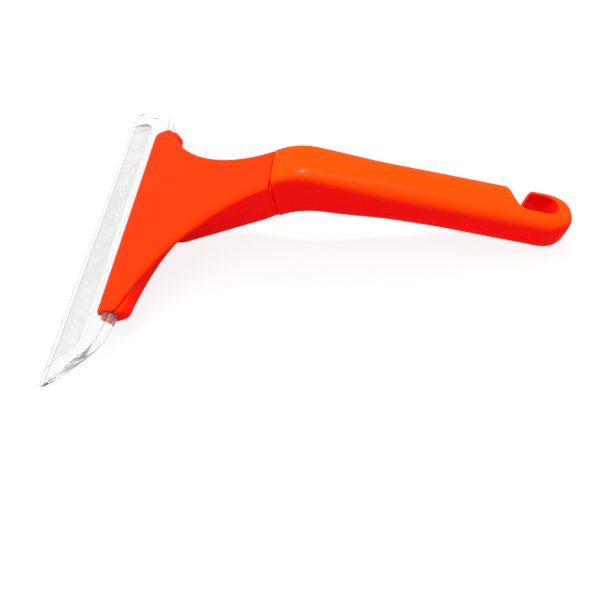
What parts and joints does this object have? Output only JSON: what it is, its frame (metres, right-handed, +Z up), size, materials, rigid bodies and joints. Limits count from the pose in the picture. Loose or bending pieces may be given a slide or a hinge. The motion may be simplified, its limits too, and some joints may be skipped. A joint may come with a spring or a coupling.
{
  "type": "glass scraper",
  "caption": "Hand scraper for glass: bent grip with an open hanging hook, fan-shaped head closed by a cover and a base, and a wide clear blade whose bead is clamped between them",
  "frame": {"origin": "Middle of the bounding box, on the table under the tool", "axes": "+X from the blade to the hook along the tool, +Y to the side on which the hook is open, +Z up from the table it lies on"},
  "size_m": [0.2158, 0.1648, 0.0474],
  "materials": {
    "orange_plastic": "satin-gloss moulded plastic, fine stipple on the grip",
    "clear_plastic": "clear moulded plastic, stiff, polished",
    "screw_steel": "plain steel"
  },
  "bodies": {
    "root": {"grip": "orange_plastic", "head_cover": "orange_plastic", "head_base": "orange_plastic", "blade": "clear_plastic", "neck_screw_rear": "screw_steel", "neck_screw_front": "screw_steel", "head_screw_left": "screw_steel", "head_screw_right": "screw_steel"}
  },
  "joints": []
}
